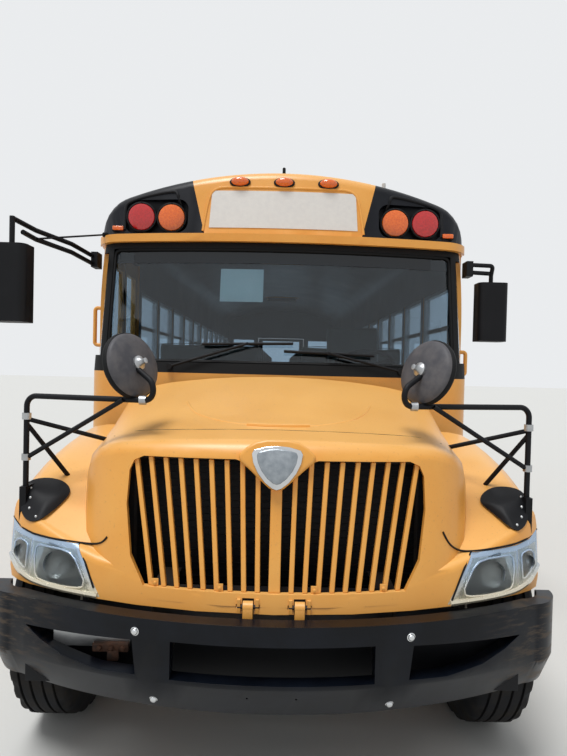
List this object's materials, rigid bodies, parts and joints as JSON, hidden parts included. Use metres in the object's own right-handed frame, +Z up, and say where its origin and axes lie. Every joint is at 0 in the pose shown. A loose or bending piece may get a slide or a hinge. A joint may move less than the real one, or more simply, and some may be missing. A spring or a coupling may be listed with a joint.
{
  "type": "school bus",
  "caption": "Front-engined school bus with a tilting nose, steered front wheels, twin rear wheels, opening doors, roof hatches and a swinging stop arm.",
  "frame": {"origin": "on the floor under the wheels, on the centreline, midway between the two bumpers", "axes": "+Z up, +Y towards the rear, +X towards the driver's side"},
  "size_m": [3.053, 10.82, 3.111],
  "materials": {
    "body_paint": "satin",
    "black_paint": "satin",
    "window_glass": "gloss",
    "aluminium_frames": "satin",
    "floor_covering": "matte",
    "red_lens": "gloss",
    "amber_lens": "gloss",
    "clear_lens": "gloss",
    "grey_metal": "satin",
    "dark_plastic": "matte",
    "seat_vinyl": "satin",
    "red_sign": "satin",
    "tyre_rubber": "matte",
    "rim_paint": "satin"
  },
  "bodies": {
    "chassis": {"roof": "body_paint", "front_cap": "body_paint", "cowl": "body_paint", "windshield_frame": "body_paint", "wall_left": "body_paint", "wall_right": "body_paint", "rear_wall": "body_paint", "window_frames": "aluminium_frames", "body_glass": "window_glass", "floor": "floor_covering", "stepwell": "black_paint", "rub_rails": "black_paint", "red_lamps": "red_lens", "amber_lamps": "amber_lens", "wipers": "black_paint", "rear_view_mirrors": "black_paint", "dashboard": "dark_plastic", "driver_seat": "seat_vinyl", "passenger_seats_left": "seat_vinyl", "passenger_seats_right": "seat_vinyl", "frame": "black_paint", "floor_sills": "black_paint", "leaf_springs": "black_paint", "front_axle": "black_paint", "rear_axle": "black_paint", "engine": "grey_metal", "fuel_tank": "aluminium_frames", "exhaust": "aluminium_frames", "front_bumper": "black_paint", "rear_bumper": "black_paint"},
    "hood": {"hood": "body_paint", "headlamps": "clear_lens", "grille_bars": "grey_metal", "crossview_mirrors": "black_paint"},
    "knuckle_left": {"knuckle_left": "black_paint"},
    "knuckle_right": {"knuckle_right": "black_paint"},
    "wheel_front_left": {"tyre_front_left": "tyre_rubber", "rim_front_left": "rim_paint"},
    "wheel_front_right": {"tyre_front_right": "tyre_rubber", "rim_front_right": "rim_paint"},
    "wheels_rear_left": {"tyres_rear_left": "tyre_rubber", "rims_rear_left": "rim_paint"},
    "wheels_rear_right": {"tyres_rear_right": "tyre_rubber", "rims_rear_right": "rim_paint"},
    "entrance_door_front": {"entrance_door_front": "body_paint", "entrance_door_front_glass": "window_glass"},
    "entrance_door_rear": {"entrance_door_rear": "body_paint", "entrance_door_rear_glass": "window_glass"},
    "rear_door": {"rear_door": "body_paint", "rear_door_glass": "window_glass"},
    "roof_hatch_front": {"roof_hatch_front": "body_paint"},
    "roof_hatch_rear": {"roof_hatch_rear": "body_paint"},
    "stop_arm": {"stop_arm": "red_sign"},
    "steering_wheel": {"steering_wheel": "dark_plastic"}
  },
  "joints": [
    {"name": "hood_tilt", "type": "hinge", "parent": "chassis", "child": "hood", "pos_m": [0, -5.315, 0.86], "axis": [1, 0, 0], "range_deg": [0, 65]},
    {"name": "steer_left", "type": "hinge", "parent": "chassis", "child": "knuckle_left", "pos_m": [0.9, -4.45, 0.525], "axis": [0, 0, 1], "range_deg": [-42, 42]},
    {"name": "steer_right", "type": "hinge", "parent": "chassis", "child": "knuckle_right", "pos_m": [-0.9, -4.45, 0.525], "axis": [0, 0, 1], "range_deg": [-42, 42]},
    {"name": "wheel_front_left_spin", "type": "hinge", "parent": "knuckle_left", "child": "wheel_front_left", "pos_m": [1.03, -4.45, 0.525], "axis": [1, 0, 0], "continuous": true},
    {"name": "wheel_front_right_spin", "type": "hinge", "parent": "knuckle_right", "child": "wheel_front_right", "pos_m": [-1.03, -4.45, 0.525], "axis": [1, 0, 0], "continuous": true},
    {"name": "wheels_rear_left_spin", "type": "hinge", "parent": "chassis", "child": "wheels_rear_left", "pos_m": [0.895, 2, 0.525], "axis": [1, 0, 0], "continuous": true},
    {"name": "wheels_rear_right_spin", "type": "hinge", "parent": "chassis", "child": "wheels_rear_right", "pos_m": [-0.895, 2, 0.525], "axis": [1, 0, 0], "continuous": true},
    {"name": "steering_wheel_turn", "type": "hinge", "parent": "chassis", "child": "steering_wheel", "pos_m": [0.62, -3.22, 1.765], "axis": [0, 0.5276, 0.8495], "range_deg": [-630, 630]},
    {"name": "entrance_door_front_swing", "type": "hinge", "parent": "chassis", "child": "entrance_door_front", "pos_m": [-1.215, -3.505, 0.43], "axis": [0, 0, 1], "range_deg": [0, 90]},
    {"name": "entrance_door_rear_swing", "type": "hinge", "parent": "chassis", "child": "entrance_door_rear", "pos_m": [-1.215, -2.765, 0.43], "axis": [0, 0, 1], "range_deg": [-90, 0]},
    {"name": "rear_door_swing", "type": "hinge", "parent": "chassis", "child": "rear_door", "pos_m": [-0.5, 5.296, 0.991], "axis": [0, 0, 1], "range_deg": [0, 105]},
    {"name": "stop_arm_swing", "type": "hinge", "parent": "chassis", "child": "stop_arm", "pos_m": [1.262, -2.62, 1.475], "axis": [0, 0, -1], "range_deg": [0, 90]},
    {"name": "roof_hatch_front_lift", "type": "hinge", "parent": "chassis", "child": "roof_hatch_front", "pos_m": [0, -1.222, 3.071], "axis": [1, 0, 0], "range_deg": [0, 75]},
    {"name": "roof_hatch_rear_lift", "type": "hinge", "parent": "chassis", "child": "roof_hatch_rear", "pos_m": [0, 2.578, 3.071], "axis": [1, 0, 0], "range_deg": [0, 75]}
  ],
  "couplings": [
    {"joint": "steer_right", "follows": "steer_left", "ratio": 1},
    {"joint": "steering_wheel_turn", "follows": "steer_left", "ratio": 15},
    {"joint": "entrance_door_rear_swing", "follows": "entrance_door_front_swing", "ratio": -1}
  ]
}
